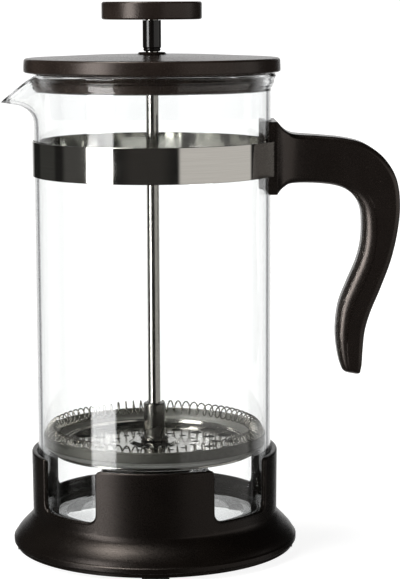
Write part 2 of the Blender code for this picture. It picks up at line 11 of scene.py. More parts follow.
import bmesh
import bpy
import numpy as np
from mathutils import Matrix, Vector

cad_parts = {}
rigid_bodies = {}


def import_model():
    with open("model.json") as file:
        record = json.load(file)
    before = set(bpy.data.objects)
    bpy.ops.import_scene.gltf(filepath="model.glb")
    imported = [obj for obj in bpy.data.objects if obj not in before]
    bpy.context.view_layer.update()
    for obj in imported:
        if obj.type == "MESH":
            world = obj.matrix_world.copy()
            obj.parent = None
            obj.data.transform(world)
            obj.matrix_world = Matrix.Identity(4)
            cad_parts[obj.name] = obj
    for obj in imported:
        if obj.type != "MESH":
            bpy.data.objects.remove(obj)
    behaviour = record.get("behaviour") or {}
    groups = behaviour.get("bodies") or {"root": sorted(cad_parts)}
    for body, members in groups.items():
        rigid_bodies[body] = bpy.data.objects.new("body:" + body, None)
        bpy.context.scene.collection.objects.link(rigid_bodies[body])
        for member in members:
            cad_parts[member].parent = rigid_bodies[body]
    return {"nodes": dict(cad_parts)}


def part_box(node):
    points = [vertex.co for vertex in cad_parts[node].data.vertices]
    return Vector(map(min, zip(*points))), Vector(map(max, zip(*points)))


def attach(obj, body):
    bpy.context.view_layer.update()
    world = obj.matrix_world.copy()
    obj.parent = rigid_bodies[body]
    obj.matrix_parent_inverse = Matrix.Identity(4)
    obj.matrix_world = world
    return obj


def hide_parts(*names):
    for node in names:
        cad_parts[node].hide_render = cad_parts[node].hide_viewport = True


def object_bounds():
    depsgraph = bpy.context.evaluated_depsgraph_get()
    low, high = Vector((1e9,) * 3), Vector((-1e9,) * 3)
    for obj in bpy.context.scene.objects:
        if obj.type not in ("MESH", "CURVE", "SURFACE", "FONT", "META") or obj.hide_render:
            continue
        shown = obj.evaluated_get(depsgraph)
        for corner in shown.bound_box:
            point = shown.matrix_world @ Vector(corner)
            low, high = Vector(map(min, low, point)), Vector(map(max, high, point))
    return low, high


MM = 0.001

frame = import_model()
cad_low, cad_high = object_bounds()
scene = bpy.context.scene


# --- sizes read from the frame ----------------------------------

def span(node):
    """Outer radius, lowest and highest level of a round node, in millimetres."""
    low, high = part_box(node)
    return (high.y - low.y) / 2 / MM, low.z / MM, high.z / MM


rod_low, rod_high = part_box("plunger_rod")
AXIS_X = (rod_low.x + rod_high.x) / 2

RIM_R, GLASS_FLOOR, RIM_TOP = span("glass_beaker")
RIM_FLARE = 2.2                 # how far the rim stands out from the wall
WALL = 1.8
SEAT_GAP = 0.3                  # between the glass and what is clamped to it
GLASS_R = RIM_R - RIM_FLARE     # outside of the beaker's wall
INNER_R = GLASS_R - WALL
ROD_R = span("plunger_rod")[0]
BORE = ROD_R + 0.15             # hole of every piece that sits on the rod


# --- grids and meshes -------------------------------------------

def rounded(corners, closed=False, steps=6):
    """A line through corners (a, b, round). Each corner becomes an arc of that radius, tangent to
    both of its sides, cut down where a side is too short for it."""
    places = np.array([corner[:2] for corner in corners], float)
    count = len(corners)
    line = []
    for i, (here, corner) in enumerate(zip(places, corners)):
        fillet = corner[2] if len(corner) > 2 else 0.0
        if fillet == 0 or (not closed and i in (0, count - 1)):
            line.append(here)
            continue
        back, on = places[i - 1] - here, places[(i + 1) % count] - here
        room = min(np.linalg.norm(back), np.linalg.norm(on)) * 0.49
        back, on = back / np.linalg.norm(back), on / np.linalg.norm(on)
        half = math.acos(np.clip(back @ on, -1, 1)) / 2
        if half > math.radians(89.5):
            line.append(here)
            continue
        reach = min(fillet / math.tan(half), room)
        middle = (back + on) / np.linalg.norm(back + on) * reach / math.cos(half)
        first, last = back * reach - middle, on * reach - middle
        sweep = math.pi - 2 * half
        t = np.linspace(0, 1, steps + 1)[:, None]
        arc = (first * np.sin((1 - t) * sweep) + last * np.sin(t * sweep)) / math.sin(sweep)
        line.extend(here + middle + arc)
    return np.array(line)


def refined(line, step, closed=False):
    """The same line with points added so that no stretch is longer than step."""
    ends = np.roll(line, -1, axis=0) if closed else line[1:]
    pieces = []
    for start, end in zip(line, ends):
        count = max(1, math.ceil(np.linalg.norm(end - start) / step))
        pieces.append(start + (end - start) * np.linspace(0, 1, count, endpoint=False)[:, None])
    if not closed:
        pieces.append(line[-1:])
    return np.concatenate(pieces)


def smooth_rows(rows, steps):
    """Catmull-Rom curve through rows of numbers, with the same number of steps in each span."""
    rows = np.asarray(rows, float)
    padded = np.concatenate([rows[:1], rows, rows[-1:]])
    a, b, c, d = (padded[k:len(rows) - 1 + k][:, None] for k in range(4))
    t = np.linspace(0, 1, steps, endpoint=False)[None, :, None]
    curve = 0.5 * (2 * b + (c - a) * t + (2 * a - 5 * b + 4 * c - d) * t ** 2
                   + (3 * b - a - 3 * c + d) * t ** 3)
    return np.concatenate([curve.reshape(-1, rows.shape[1]), rows[-1:]])


def turned(profile, sides=144, closed=True):
    """A profile of (radius, height) spun about the axis: x = r cos a, y = r sin a, z = height.
    A closed profile makes a ring; an open one starts and ends on the axis."""
    profile = np.asarray(profile, float)
    a = np.linspace(0, 2 * math.pi, sides, endpoint=False)
    r, z = profile[:, :1], profile[:, 1:2]
    return np.stack([r * np.cos(a), r * np.sin(a), z + 0 * a], -1), closed, True


def carried(path, section):
    """A flat section (out, up) carried along a level path (x, y): out lies along the path's
    normal, so that each point is path + normal * out, raised by up. Both ends are closed."""
    tangent = np.gradient(path, axis=0)
    tangent /= np.linalg.norm(tangent, axis=1)[:, None]
    normal = np.stack([tangent[:, 1], -tangent[:, 0]], -1)
    plan = path[:, None] + normal[:, None] * section[None, :, :1]
    up = np.broadcast_to(section[None, :, 1:], plan.shape[:2] + (1,))
    return closed_ends(np.concatenate([plan, up], -1)), False, True


def spun(shell, angle):
    """The same grid turned about the axis: (x cos a - y sin a, x sin a + y cos a, z)."""
    points, wrap_rows, wrap_cols = shell
    x, y, z = np.moveaxis(points, -1, 0)
    c, s = math.cos(angle), math.sin(angle)
    return np.stack([x * c - y * s, x * s + y * c, z], -1), wrap_rows, wrap_cols


def closed_ends(points):
    """Adds a row at each end in which all points meet in the middle of the end's section."""
    first = np.broadcast_to(points[:1].mean(axis=1, keepdims=True), points[:1].shape)
    last = np.broadcast_to(points[-1:].mean(axis=1, keepdims=True), points[-1:].shape)
    return np.concatenate([first, points, last])


def running_length(points, axis, closed):
    """Distance travelled along one parameter of a grid, averaged over the other."""
    if closed:
        points = np.concatenate([points, points.take([0], axis)], axis)
    steps = np.linalg.norm(np.diff(points, axis=axis), axis=2).mean(axis=1 - axis)
    return np.concatenate([[0.0], np.cumsum(steps)])


def grid_mesh(name, shells):
    """One mesh from grids (points, rows wrap, columns wrap). The UV map holds millimetres along
    the columns and the rows, so that a pattern can follow the surface at its real size."""
    verts, quads, uvs, base = [], [], [], 0
    for points, wrap_rows, wrap_cols in shells:
        rows, cols = points.shape[:2]
        i, j = np.meshgrid(np.arange(rows - 1 + wrap_rows), np.arange(cols - 1 + wrap_cols),
                           indexing="ij")
        ci, cj = np.stack([i, i, i + 1, i + 1], -1), np.stack([j, j + 1, j + 1, j], -1)
        quads.append((base + (ci % rows) * cols + cj % cols).reshape(-1, 4))
        along = running_length(points, 0, wrap_rows)
        around = running_length(points, 1, wrap_cols)
        uvs.append(np.stack([around[cj], along[ci]], -1).reshape(-1, 2))
        verts.append(points.reshape(-1, 3))
        base += rows * cols
    place = np.concatenate(verts) * MM + np.array([AXIS_X, 0, 0])
    mesh = bpy.data.meshes.new(name)
    mesh.from_pydata(place.tolist(), [], np.concatenate(quads).tolist())
    layer = mesh.uv_layers.new(name="UVMap")
    layer.data.foreach_set("uv", np.concatenate(uvs).astype(np.float32).ravel())
    bm = bmesh.new()
    bm.from_mesh(mesh)
    bmesh.ops.remove_doubles(bm, verts=bm.verts, dist=0.002 * MM)
    bmesh.ops.dissolve_degenerate(bm, edges=bm.edges, dist=0.001 * MM)
    bmesh.ops.recalc_face_normals(bm, faces=bm.faces)
    bm.to_mesh(mesh)
    bm.free()
    mesh.shade_smooth()
    return mesh


def piece(name, shells, finish, body, nodes, sharp=40.0):
    """A new object from its grids, riding a body and standing for its CAD nodes."""
    mesh = grid_mesh(name, shells)
    mesh.set_sharp_from_angle(angle=math.radians(sharp))
    mesh.materials.append(finish)
    obj = bpy.data.objects.new(name, mesh)
    scene.collection.objects.link(obj)
    even = obj.modifiers.new("even_shading", "WEIGHTED_NORMAL")
    even.keep_sharp = True
    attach(obj, body)
    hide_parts(*nodes)
    return obj


def take_away(obj, name, shells):
    """Cuts a shape out of a piece, before its shading is evened."""
    cutter = bpy.data.objects.new(name, grid_mesh(name, shells))
    scene.collection.objects.link(cutter)
    cutter.hide_render = True
    cutter.display_type = "WIRE"
    cutter.parent = obj.parent
    boolean = obj.modifiers.new(name, "BOOLEAN")
    boolean.operation = "DIFFERENCE"
    boolean.solver = "EXACT"
    boolean.object = cutter
    obj.modifiers.move(len(obj.modifiers) - 1, 0)


# --- materials --------------------------------------------------

def linear(code):
    """Linear colour of an sRGB hex value such as "4a4442"."""
    channels = [int(code[k:k + 2], 16) / 255 for k in (0, 2, 4)]
    return (*(c / 12.92 if c <= 0.04045 else ((c + 0.055) / 1.055) ** 2.4 for c in channels), 1.0)


def add(tree, kind, inputs=(), **settings):
    """Adds a shader node, sets its own settings, and gives its sockets a value or a link each."""
    node = tree.nodes.new("ShaderNode" + kind)
    for key, value in settings.items():
        setattr(node, key, value)
    for key, value in dict(inputs).items():
        if isinstance(value, bpy.types.Node):
            value = value.outputs[0]
        if isinstance(value, bpy.types.NodeSocket):
            tree.links.new(value, node.inputs[key])
        else:
            node.inputs[key].default_value = value
    return node


def new_finish(name, **constants):
    """A material with one Principled shader; its constants are set on the shader's sockets."""
    mat = bpy.data.materials.new(name)
    mat.use_nodes = True
    shader = mat.node_tree.nodes["Principled BSDF"]
    for key, value in constants.items():
        shader.inputs[key.replace("_", " ")].default_value = value
    return mat, mat.node_tree, shader


def wire(tree, shader, **sources):
    """Feeds the shader's sockets from nodes."""
    for key, value in sources.items():
        tree.links.new(value.outputs[0] if isinstance(value, bpy.types.Node) else value,
                       shader.inputs[key.replace("_", " ")])


def moulded_polypropylene(name, dark, light, roughness, shine):
    """Polypropylene moulded in a spark-eroded tool: near-black brown, a soft broad shine broken
    into tiny glints by the grain, and faint cloudy patches from the flow in the mould. Real
    grain is about 0.15 mm across; it is drawn at 0.35 mm, so that its glints show."""
    mat, tree, shader = new_finish(name, IOR=1.49, Specular_IOR_Level=shine,
                                   Specular_Tint=(1.0, 0.87, 0.8, 1.0))
    co = add(tree, "TexCoord").outputs["Object"]
    bumps = add(tree, "TexNoise",
                {"Vector": co, "Scale": 1 / (0.35 * MM), "Detail": 3.0, "Roughness": 0.65})
    flow = add(tree, "TexNoise",
               {"Vector": co, "Scale": 1 / (14 * MM), "Detail": 2.0, "Distortion": 0.6})
    patch = add(tree, "MapRange",
                {"Value": flow.outputs["Fac"], "From Min": 0.3, "From Max": 0.7})
    colour = add(tree, "Mix",
                 {0: patch.outputs["Result"], 6: linear(dark), 7: linear(light)}, data_type="RGBA")
    rough = add(tree, "MapRange",
                {"Value": bumps.outputs["Fac"], "From Min": 0.25, "From Max": 0.75,
                 "To Min": roughness + 0.07, "To Max": roughness - 0.07})
    bump = add(tree, "Bump",
               {"Height": bumps.outputs["Fac"], "Strength": 0.6, "Distance": 0.06 * MM})
    wire(tree, shader, Base_Color=colour.outputs[2], Roughness=rough, Normal=bump)
    return mat


def polished_abs(name, colour, roughness):
    """ABS moulded in a polished tool: black, mirror-like with the faint waviness of a moulding
    and a few hair scratches."""
    mat, tree, shader = new_finish(name, IOR=1.52)
    co = add(tree, "TexCoord").outputs["Object"]
    wave = add(tree, "TexNoise", {"Vector": co, "Scale": 1 / (4 * MM), "Detail": 1.0})
    specks = add(tree, "TexNoise", {"Vector": co, "Scale": 1 / (0.6 * MM)})
    rough = add(tree, "MapRange",
                {"Value": specks.outputs["Fac"], "From Min": 0.3, "From Max": 0.8,
                 "To Min": roughness, "To Max": roughness + 0.12})
    tint = add(tree, "Mix",
               {0: wave.outputs["Fac"], 6: linear(colour), 7: linear("1b1816")}, data_type="RGBA")
    bump = add(tree, "Bump",
               {"Height": wave.outputs["Fac"], "Strength": 0.2, "Distance": 0.05 * MM})
    wire(tree, shader, Base_Color=tint.outputs[2], Roughness=rough, Normal=bump)
    return mat


def moulded_rubber(name):
    """Moulded rubber: matt charcoal with a dusty bloom and a fine pebbled surface."""
    mat, tree, shader = new_finish(name, IOR=1.5, Sheen_Weight=0.15)
    co = add(tree, "TexCoord").outputs["Object"]
    pebble = add(tree, "TexNoise",
                 {"Vector": co, "Scale": 1 / (0.4 * MM), "Detail": 3.0})
    colour = add(tree, "Mix",
                 {0: pebble.outputs["Fac"], 6: linear("171615"), 7: linear("2c2a28")},
                 data_type="RGBA")
    rough = add(tree, "MapRange",
                {"Value": pebble.outputs["Fac"], "To Min": 0.7, "To Max": 0.95})
    bump = add(tree, "Bump",
               {"Height": pebble.outputs["Fac"], "Strength": 0.4, "Distance": 0.06 * MM})
    wire(tree, shader, Base_Color=colour.outputs[2], Roughness=rough, Normal=bump)
    return mat


def drawn_steel(name, light, dark, roughness, cell, depth):
    """Stainless steel with the fine parallel lines that rolling, drawing or turning leaves:
    a clear reflection, slightly streaked along the metal. A cell is the width and the length of
    one line's grain in millimetres, across and along the rows of the surface."""
    mat, tree, shader = new_finish(name, Metallic=1.0)
    uv = add(tree, "TexCoord").outputs["UV"]
    along = add(tree, "Mapping",
                {"Vector": uv, "Scale": (1 / cell[0], 1 / cell[1], 1.0)})
    lines = add(tree, "TexNoise",
                {"Vector": along, "Scale": 1.0, "Detail": 3.0, "Roughness": 0.6})
    smears = add(tree, "TexNoise", {"Vector": uv, "Scale": 1 / 9.0, "Detail": 2.0})
    colour = add(tree, "Mix",
                 {0: lines.outputs["Fac"], 6: linear(dark), 7: linear(light)}, data_type="RGBA")
    rough = add(tree, "MapRange",
                {"Value": smears.outputs["Fac"], "From Min": 0.3, "From Max": 0.7,
                 "To Min": roughness * 0.75, "To Max": roughness * 1.35})
    bump = add(tree, "Bump",
               {"Height": lines.outputs["Fac"], "Strength": 0.3, "Distance": depth * MM})
    wire(tree, shader, Base_Color=colour.outputs[2], Roughness=rough, Normal=bump)
    return mat


def woven_steel(name, pitch):
    """Stainless wire cloth in plain weave: each wire passes over one and under the next, so the
    surface is a check of small domes, dull between them. Real cloth has about 0.25 mm between its
    wires; pitch, in millimetres, is drawn coarser so that the weave shows. The outside and the
    part under the plate get a darker steel, painted shade where they face no light, and the inside
    of the flange a lighter steel, painted light from the plate that shines on it."""
    mat, tree, shader = new_finish(name, Metallic=1.0)
    uv = add(tree, "TexCoord").outputs["UV"]
    turned_uv = add(tree, "Mapping",
                    {"Vector": uv, "Rotation": (0, 0, math.radians(38)),
                     "Scale": (math.pi / pitch, math.pi / pitch, 1.0)})
    axes = add(tree, "SeparateXYZ", {0: turned_uv})
    warp = add(tree, "Math", {0: axes.outputs["X"]}, operation="SINE")
    weft = add(tree, "Math", {0: axes.outputs["Y"]}, operation="SINE")
    check = add(tree, "Math", {0: warp, 1: weft}, operation="MULTIPLY")
    domes = add(tree, "Math", {0: check}, operation="ABSOLUTE")
    patches = add(tree, "TexNoise", {"Vector": uv, "Scale": 1 / 1.3, "Detail": 4.0})
    mixed = add(tree, "Math", {0: domes, 1: patches.outputs["Fac"]}, operation="MULTIPLY")
    # Lit and shaded copies of one steel: the darker one is painted shade for the outside and under the
    # plate, the lighter one is painted light for the inside of the flange.
    outer = add(tree, "Mix", {0: mixed, 6: linear("3b3a36"), 7: linear("8f8d86")},
                data_type="RGBA")
    inner = add(tree, "Mix", {0: mixed, 6: linear("8b8a85"), 7: linear("d0cec8")},
                data_type="RGBA")
    # The mark picks the painted shade (1) or the painted light (0).
    skin = add(tree, "Attribute", attribute_name="outer_skin")
    colour = add(tree, "Mix",
                 {0: skin.outputs["Fac"], 6: inner.outputs[2], 7: outer.outputs[2]},
                 data_type="RGBA")
    rough = add(tree, "MapRange", {"Value": domes, "To Min": 0.6, "To Max": 0.38})
    bump = add(tree, "Bump", {"Height": domes, "Strength": 0.6, "Distance": 0.12 * MM})
    wire(tree, shader, Base_Color=colour.outputs[2], Roughness=rough, Normal=bump)
    return mat


def blown_glass(name):
    """Borosilicate glass blown in a mould and fire-polished: clear, with a mirror skin. Seen
    almost edge on, light that enters the outer skin is trapped in the wall and leaves a thin grey
    line along each side of beaker just inside its outline; here that line is painted shade, a grey
    painted into the glass colour where the outer skin is seen at a grazing angle. Lamps shine
    through it."""
    mat, tree, shader = new_finish(name, IOR=1.47, Transmission_Weight=1.0, Roughness=0.0)
    # Painted shade: a grey band painted into the base colour where the surface is seen at a grazing
    # angle.
    edge_on = add(tree, "LayerWeight", {"Blend": 0.5})
    before = add(tree, "MapRange",
                 {"Value": edge_on.outputs["Facing"], "From Min": 0.70, "From Max": 0.75},
                 interpolation_type="SMOOTHSTEP")
    after = add(tree, "MapRange",
                {"Value": edge_on.outputs["Facing"], "From Min": 0.77, "From Max": 0.82,
                 "To Min": 1.0, "To Max": 0.0}, interpolation_type="SMOOTHSTEP")
    line = add(tree, "Math", {0: before, 1: after}, operation="MULTIPLY")
    skin = add(tree, "Attribute", attribute_name="outer_skin")
    share = add(tree, "Math", {0: line, 1: skin.outputs["Fac"]}, operation="MULTIPLY")
    colour = add(tree, "Mix", {0: share, 6: linear("fdfefe"), 7: linear("6f7072")},
                 data_type="RGBA")
    wire(tree, shader, Base_Color=colour.outputs[2])
    lamp = add(tree, "LightPath")
    clear = add(tree, "BsdfTransparent", {"Color": linear("f4f6f5")})
    mixed = add(tree, "MixShader",
                {0: lamp.outputs["Is Shadow Ray"], 1: shader, 2: clear})
    tree.links.new(mixed.outputs[0], tree.nodes["Material Output"].inputs["Surface"])
    return mat


def make_finishes():
    """Every material of the press by its slot's name."""
    return {
        "beaker_glass": blown_glass("borosilicate_glass_blown"),
        "base_plastic": moulded_polypropylene("base_polypropylene", "070504", "0c0907", 0.28, 0.32),
        "handle_plastic": moulded_polypropylene("handle_polypropylene", "0f0b09", "130f0d", 0.25, 0.7),
        "lid_plastic": moulded_polypropylene("lid_polypropylene", "1e1815", "28211d", 0.25, 0.4),
        "knob_plastic": moulded_polypropylene("knob_polypropylene", "1e1815", "28211d", 0.27, 0.45),
        "stem_plastic": polished_abs("stem_abs_polished", "0c0a09", 0.1),
        "guide_plastic": polished_abs("guide_abs_satin", "241e1b", 0.32),
        "foot_rubber": moulded_rubber("foot_rubber_moulded"),
        "strap_steel": drawn_steel("strap_steel_rolled", "dfddd8", "cbc9c4", 0.06, (0.35, 30), 0.006),
        "screw_steel": drawn_steel("screw_steel_plated", "7d7b76", "5c5a56", 0.24, (6, 0.3), 0.01),
        "rod_steel": drawn_steel("rod_steel_drawn", "bcbab5", "a3a19c", 0.1, (0.3, 20), 0.008),
        "plate_steel": drawn_steel("plate_steel_pressed", "c4c2bc", "aaa8a2", 0.12, (3, 3), 0.02),
        "spring_steel": drawn_steel("spring_steel_wire", "b2afa8", "8d8a83", 0.16, (0.2, 6), 0.01),
        "mesh_steel": woven_steel("mesh_steel_woven", 0.55),
    }


# --- beaker -----------------------------------------------------

def pull_spout(points):
    """Leans the upper wall out and down round -X into a pouring beak. With u the share of the
    height from the spout's start to the rim, the push is 1.5 u^2 - 0.5 u^3, and it fades to the
    sides as a cosine to the power 2.4."""
    start, half_angle, drop = 172.0, 25.0, 10.6
    reach = -((cad_low.x - AXIS_X) / MM) - RIM_R
    x, y, z = np.moveaxis(points, -1, 0)
    radius = np.hypot(x, y)
    side = np.degrees(np.abs(np.arctan2(y, -x)))
    u = np.clip((z - start) / (RIM_TOP - 0.7 - start), 0, 1)
    push = 1.5 * u ** 2 - 0.5 * u ** 3
    bump = np.cos(math.pi / 2 * np.clip(side / half_angle, 0, 1)) ** 2.4
    grow = 1 + reach * push * bump / np.maximum(radius, 1.0)
    lift = np.where(radius < GLASS_R - 0.1, 1.2 * u * bump, 0.0)
    return np.stack([x * grow, y * grow, z + lift - drop * push * bump], -1)


def mark_skin(obj, limit, hidden=0.0):
    """A value of 1 on the points that lie further from the axis than the limit or nearer to it
    than the hidden part's radius, else 0."""
    co = np.zeros(len(obj.data.vertices) * 3, np.float32)
    obj.data.vertices.foreach_get("co", co)
    away = np.hypot(co[0::3] - AXIS_X, co[1::3]) / MM
    far = (away > limit) | (away < hidden)
    obj.data.attributes.new("outer_skin", "FLOAT", "POINT").data.foreach_set(
        "value", far.astype(np.float32))


def make_beaker(finish):
    """Down the outside from the rim's bead, under the thick floor and up the inside."""
    top, low, ro, ri = RIM_TOP, GLASS_FLOOR, GLASS_R, INNER_R
    outside = [(RIM_R, top - 0.8, 0.7), (ro + 1.4, top - 2.4, 1.2), (ro + 1.2, top - 3.8, 1.5),
               (ro, top - 6.2, 3.0), (ro, low, 6.0), (36.0, low, 3.0), (30.0, low + 0.7, 4.0),
               (0.0, low + 1.4)]
    inside = [(0.0, low + 4.4), (34.0, low + 3.8, 6.0), (ri - 2.4, low + 3.8, 2.0),
              (ri, low + 6.6, 4.0), (ri, top - 5.0, 4.0), (ri + 0.6, top - 1.8, 2.0),
              (ri + 1.3, top, 0.5), (RIM_R - 0.5, top, 0.5)]
    outer = refined(rounded([(RIM_R - 0.5, top)] + outside, steps=8), 2.0)
    inner = refined(rounded(inside + [outside[0]], steps=8)[:-1], 2.0)
    points, wrap_rows, wrap_cols = turned(np.concatenate([outer[1:], inner]), 288)
    beaker = piece("beaker", [(pull_spout(points), wrap_rows, wrap_cols)], finish,
                   "jug", ["glass_beaker"], sharp=70)
    # Only the outer skin carries the glass's painted grey line.
    mark_skin(beaker, (GLASS_R + INNER_R) / 2)


# --- base -------------------------------------------------------

def tab_outline(collar, top, sill):
    """The upper edge of the base as (distance round the collar, height), closed all the way
    round: four uprights with rounded shoulders and four windows with rounded lower corners."""
    quarter = collar * math.pi / 2
    shoulder = quarter / 2 - collar * math.radians(17.0)
    corners = [(-quarter / 2, sill), (-shoulder, sill, 3.5), (-shoulder, top, 2.0),
               (shoulder, top, 2.0), (shoulder, sill, 3.5), (quarter / 2, sill)]
    line = refined(rounded(corners, steps=7), 1.0)[:-1]
    return np.concatenate([line + np.array([quarter * k, 0]) for k in range(4)])


def make_base(finish):
    """The base is one closed grid. Its columns run round the press; its rows run up the collar's
    outside, over the rounded edge of the uprights, down the inside, over the ledge that carries
    the beaker, down inside the skirt, round the foot ring and back up the skirt. Between the
    edge and the level ring below it each column is straight, and leans in by 0.2 mm."""
    top = span("base_frame")[2]
    lip = span("base_frame")[0]
    foot = span("base_frame")[1]
    collar, inner, sill, ring_z, ledge_z = 49.6, GLASS_R + 0.4, 20.4, 16.0, 12.0
    edge = tab_outline(collar, top, sill)
    ahead = np.roll(edge, -1, axis=0) - edge
    ahead[-1, 0] += collar * 2 * math.pi
    behind = np.roll(ahead, 1, axis=0)
    tangent = ahead / np.linalg.norm(ahead, axis=1)[:, None]
    tangent += behind / np.linalg.norm(behind, axis=1)[:, None]
    tangent /= np.linalg.norm(tangent, axis=1)[:, None]
    normal = np.stack([-tangent[:, 1], tangent[:, 0]], -1)
    weight = np.hypot(ahead[:, 0], 0.3 * ahead[:, 1])
    along = np.concatenate([[0.0], np.cumsum(weight)[:-1]]) / weight.sum() * collar * 2 * math.pi
    low = np.stack([along + edge[0, 0], np.full(len(edge), ring_z)], -1)
    low_in = np.stack([low[:, 0], np.full(len(edge), ledge_z)], -1)

    fillet = 0.85
    rows, radii = [], []
    for t in np.linspace(0, 1, 9):
        here = low + (edge - normal * fillet - low) * t
        rows.append(here)
        radii.append(49.4 + 0.2 * (here[:, 1] - ring_z) / (top - ring_z))
    for a in np.radians(np.linspace(15, 90, 6)):
        rows.append(edge - normal * fillet * (1 - math.sin(a)))
        radii.append(np.full(len(edge), collar - fillet * (1 - math.cos(a))))
    for a in np.radians(np.linspace(90, 0, 7)):
        rows.append(edge - normal * fillet * (1 - math.sin(a)))
        radii.append(np.full(len(edge), inner + fillet * (1 - math.cos(a))))
    for t in np.linspace(0, 1, 9)[1:]:
        rows.append(edge - normal * fillet + (low_in - edge + normal * fillet) * t)
        radii.append(np.full(len(edge), inner))

    under = rounded([(inner, ledge_z), (36.0, ledge_z, 0.4), (36.0, 10.0, 0.4), (46.0, 10.0, 1.5),
                     (50.0, 9.0, 2.0), (lip - 4.4, 5.0, 1.0), (lip - 4.2, foot, 0.4),
                     (lip - 1.2, foot, 0.5), (lip - 0.9, 3.6, 0.5), (lip, 3.9, 0.4), (lip, 5.7, 0.3),
                     (lip - 0.5, 6.1)])
    skirt = smooth_rows([(lip - 0.5, 6.1), (55.7, 8.0), (53.9, 10.1), (51.9, 12.1),
                         (50.4, 13.8), (49.6, 15.2), (49.4, ring_z)], 4)
    for r, z in np.concatenate([refined(under, 2.5)[1:-1], skirt[:-1]]):
        rows.append(np.stack([low[:, 0], np.full(len(edge), z)], -1))
        radii.append(np.full(len(edge), r))

    rows, radii = np.array(rows), np.array(radii)
    a = rows[:, :, 0] / collar
    points = np.stack([radii * np.cos(a), radii * np.sin(a), rows[:, :, 1]], -1)
    piece("base", [(points, True, True)], finish, "jug", ["base_frame"], 50)


def make_feet(finish):
    """Four short arc-shaped pads with rounded edges."""
    for i, place in enumerate(("right", "back", "left", "front")):
        node = "foot_pad_" + place
        high = span(node)[2]
        middle, half = span("base_frame")[0] - 2.7, 1.3
        a = math.pi / 2 * i + np.radians(np.linspace(5.5, -5.5, 25))
        path = np.stack([middle * np.cos(a), middle * np.sin(a)], -1)
        section = rounded([(-half, 0, 0.4), (half, 0, 0.4), (half, high, 0.3), (-half, high, 0.3)],
                          closed=True, steps=4)
        piece(node + "_rubber", [carried(path, section)], finish, "jug", [node])


# --- strap and handle -------------------------------------------

STRAP_LEAVES = math.radians(33.0)   # angle from +X where the strap leaves the glass
EAR_Y = 3.2
SCREW_X = 62.0
STRAP_Z = sum(span("clamp_strap")[1:]) / 2


def make_strap(finish):
    """A bright steel strip carried round the glass; its ends leave it straight and turn into two
    parallel ears inside the handle. Its long edges are rounded over."""
    low, high = span("clamp_strap")[1:]
    thick = 0.5
    radius = GLASS_R + SEAT_GAP + thick / 2
    leave = radius * np.array([math.cos(STRAP_LEAVES), math.sin(STRAP_LEAVES)])
    along = np.array([math.sin(STRAP_LEAVES), -math.cos(STRAP_LEAVES)])
    bend = leave + along * (leave[1] - EAR_Y) / -along[1]
    leg = rounded([(66.0, EAR_Y), (*bend, 1.5), tuple(leave)], steps=5)
    a = np.linspace(STRAP_LEAVES, 2 * math.pi - STRAP_LEAVES, 241)
    ring = radius * np.stack([np.cos(a), np.sin(a)], -1)
    path = np.concatenate([leg[:-1], ring, (leg[:-1] * [1, -1])[::-1]])
    section = rounded([(-thick / 2, low, 0.2), (thick / 2, low, 0.2), (thick / 2, high, 0.2),
                       (-thick / 2, high, 0.2)], closed=True, steps=3)
    piece("strap", [carried(refined(path, 2.0), section)], finish, "jug",
          ["clamp_strap"], 60)


# Stations along the handle, from the seat on the glass, over the neck and down the grip:
# outer x and z, inner x and z, half width, depth and width of the rounding on the finger side,
# rounding of the outer edges, depth of the fine groove beside the finger side.
HANDLE = [
    (48.9, 173.2, 48.8, 144.5, 14.6, 0.9, 0.9, 0.9, 0.0),
    (50.6, 171.2, 50.1, 145.9, 12.4, 1.3, 1.3, 1.3, 0.0),
    (52.6, 169.4, 51.8, 147.2, 10.6, 1.9, 1.8, 1.8, 0.0),
    (56.2, 167.9, 54.8, 148.4, 8.8, 2.4, 2.4, 2.2, 0.0),
    (65.5, 167.2, 62.5, 148.5, 7.8, 2.6, 2.6, 2.4, 0.0),
    (76.0, 166.1, 70.8, 147.7, 7.5, 2.8, 2.8, 2.4, 0.0),
    (84.0, 163.9, 76.3, 146.0, 7.5, 3.2, 3.2, 2.4, 0.0),
    (91.5, 158.5, 80.3, 142.7, 7.5, 4.0, 3.6, 2.4, 0.0),
    (96.6, 150.5, 82.7, 138.3, 7.6, 5.0, 4.1, 2.4, 0.16),
    (98.3, 140.5, 83.4, 132.5, 7.6, 5.6, 4.4, 2.4, 0.22),
    (97.5, 129.5, 83.1, 124.5, 7.5, 5.8, 4.5, 2.4, 0.22),
    (94.9, 117.5, 81.3, 117.0, 7.3, 6.0, 4.5, 2.4, 0.22),
    (90.6, 105.6, 77.8, 108.7, 7.1, 5.8, 4.4, 2.4, 0.22),
    (86.9, 96.6, 74.6, 100.5, 6.9, 5.3, 4.2, 2.3, 0.22),
    (84.7, 89.0, 73.3, 93.0, 6.8, 4.8, 4.0, 2.2, 0.22),
    (83.9, 81.5, 73.2, 85.0, 6.6, 4.2, 3.8, 2.0, 0.2),
    (83.5, 74.8, 74.5, 76.8, 6.3, 3.4, 3.4, 1.8, 0.12),
    (82.8, 71.4, 76.1, 72.4, 5.6, 2.4, 2.8, 1.6, 0.0),
]


